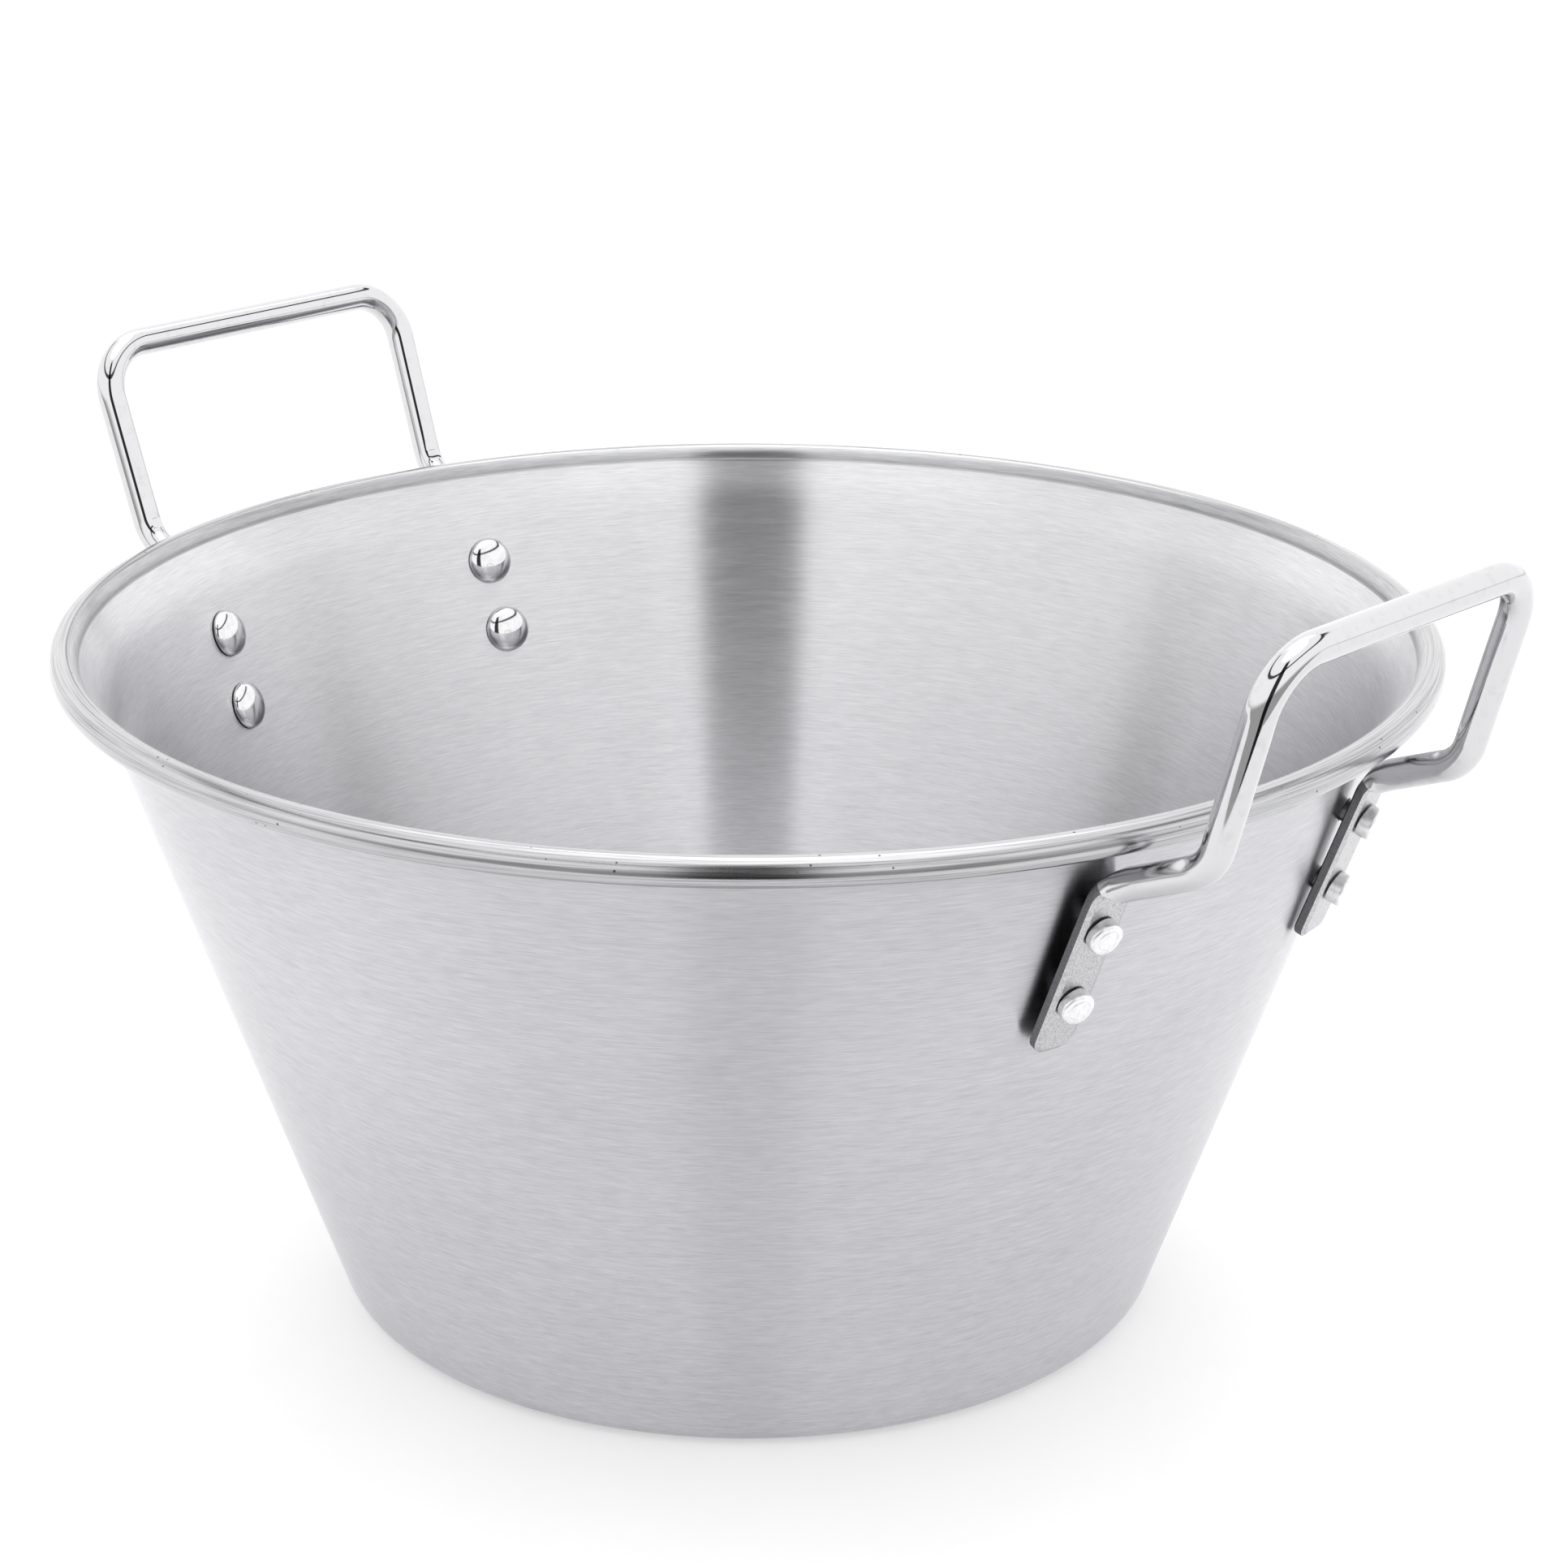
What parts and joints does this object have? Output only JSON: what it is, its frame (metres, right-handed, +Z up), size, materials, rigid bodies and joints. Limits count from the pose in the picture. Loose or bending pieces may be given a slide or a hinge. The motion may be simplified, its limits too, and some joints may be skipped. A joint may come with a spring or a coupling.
{
  "type": "two-handled stock pot",
  "caption": "Conical stainless steel pan with a wired rolled rim, a flat bottom and two upright riveted rod handles.",
  "frame": {"origin": "centre of the flat bottom, on the surface the pan stands on", "axes": "+Z up out of the mouth; the two handles stand on the X axis, handle_right at +X; -Y is the front"},
  "size_m": [0.4121, 0.36, 0.2341],
  "materials": {
    "shell_steel": "satin, brushed round the pan",
    "handle_steel": "polished rod with satin flattened ends",
    "rivet_steel": "polished domes inside, satin formed heads outside",
    "wire_steel": "plain drawn wire, out of sight"
  },
  "bodies": {
    "root": {"pot_shell": "shell_steel", "rim_wire": "wire_steel", "handle_right": "handle_steel", "handle_left": "handle_steel", "rivet_right_front_lower": "rivet_steel", "rivet_right_front_upper": "rivet_steel", "rivet_right_rear_lower": "rivet_steel", "rivet_right_rear_upper": "rivet_steel", "rivet_left_front_lower": "rivet_steel", "rivet_left_front_upper": "rivet_steel", "rivet_left_rear_lower": "rivet_steel", "rivet_left_rear_upper": "rivet_steel"}
  },
  "joints": []
}
